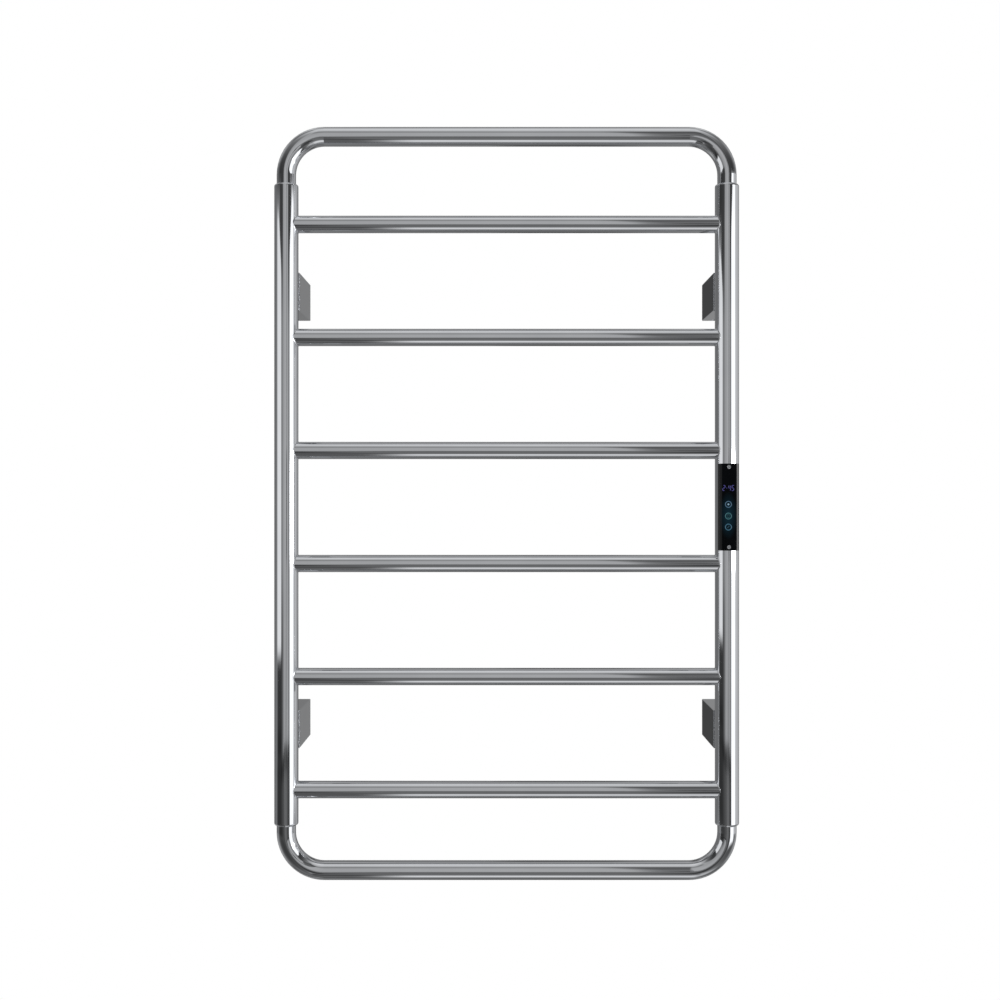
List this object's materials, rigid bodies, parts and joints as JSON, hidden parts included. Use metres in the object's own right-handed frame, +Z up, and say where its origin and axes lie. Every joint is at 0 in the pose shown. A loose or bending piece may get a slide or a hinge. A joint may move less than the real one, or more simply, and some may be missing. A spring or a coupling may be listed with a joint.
{
  "type": "towel warmer rack",
  "caption": "Wall-hung electric towel rail of polished steel tube, with round crossbars, bent end bows, box brackets and a black touch panel in one upright.",
  "frame": {"origin": "middle of the four wall plates, on the wall plane", "axes": "+X to the right seen from the room, +Y into the wall, +Z up"},
  "size_m": [0.485, 0.1032, 0.7856],
  "materials": {
    "polished_steel_tube": "drawn stainless tube, mirror polished",
    "polished_bracket": "polished box section",
    "die_cast_plate": "as cast",
    "plain_steel": "turned, zinc plated",
    "black_panel": "moulded, polished",
    "black_rubber": "moulded",
    "tray_plastic": "moulded",
    "board_laminate": "lacquered laminate",
    "display_glow": "moulded, lit digits",
    "light_pipe": "clear moulded, lit",
    "terminal_plastic": "moulded",
    "tinned_brass": "stamped, tinned",
    "silicone_cable": "extruded silicone"
  },
  "bodies": {
    "wall_plates": {"upper_left_wall_plate": "die_cast_plate", "upper_right_wall_plate": "die_cast_plate", "lower_left_wall_plate": "die_cast_plate", "lower_right_wall_plate": "die_cast_plate", "wall_grommet": "black_rubber"},
    "rack": {"arm_bolts": "plain_steel", "arm_washers": "plain_steel", "board_terminals": "terminal_plastic", "bottom_bow": "polished_steel_tube", "clamp_plates": "plain_steel", "control_board": "board_laminate", "control_tray": "tray_plastic", "crossbar_1": "polished_steel_tube", "crossbar_2": "polished_steel_tube", "crossbar_3": "polished_steel_tube", "crossbar_4": "polished_steel_tube", "crossbar_5": "polished_steel_tube", "crossbar_6": "polished_steel_tube", "display_module": "display_glow", "earth_tag": "tinned_brass", "heating_cable": "silicone_cable", "icon_light_pipes": "light_pipe", "lead_grommet": "black_rubber", "left_upright": "polished_steel_tube", "lower_left_arm": "polished_bracket", "lower_left_collar": "polished_steel_tube", "lower_right_arm": "polished_bracket", "lower_right_collar": "polished_steel_tube", "panel_cover": "black_panel", "panel_screws": "plain_steel", "panel_seals": "black_rubber", "power_relay": "tray_plastic", "power_supply": "tray_plastic", "right_upright": "polished_steel_tube", "supply_lead": "black_rubber", "supply_terminal_block": "terminal_plastic", "temperature_sensor": "tinned_brass", "thermal_cutout": "plain_steel", "top_bow": "polished_steel_tube", "upper_left_arm": "polished_bracket", "upper_left_collar": "polished_steel_tube", "upper_right_arm": "polished_bracket", "upper_right_collar": "polished_steel_tube", "weld_bosses": "plain_steel"},
    "upper_left_grub_screw": {"upper_left_grub_screw": "plain_steel"},
    "upper_right_grub_screw": {"upper_right_grub_screw": "plain_steel"},
    "lower_left_grub_screw": {"lower_left_grub_screw": "plain_steel"},
    "lower_right_grub_screw": {"lower_right_grub_screw": "plain_steel"}
  },
  "joints": [
    {"name": "rack_lift_off", "type": "slide", "parent": "wall_plates", "child": "rack", "axis": [0, -1, 0], "range_m": [0, 0.03]},
    {"name": "upper_left_grub_screw_out", "type": "slide", "parent": "rack", "child": "upper_left_grub_screw", "axis": [0, 0, -1], "range_m": [0, 0.003]},
    {"name": "upper_right_grub_screw_out", "type": "slide", "parent": "rack", "child": "upper_right_grub_screw", "axis": [0, 0, -1], "range_m": [0, 0.003]},
    {"name": "lower_left_grub_screw_out", "type": "slide", "parent": "rack", "child": "lower_left_grub_screw", "axis": [0, 0, -1], "range_m": [0, 0.003]},
    {"name": "lower_right_grub_screw_out", "type": "slide", "parent": "rack", "child": "lower_right_grub_screw", "axis": [0, 0, -1], "range_m": [0, 0.003]}
  ]
}
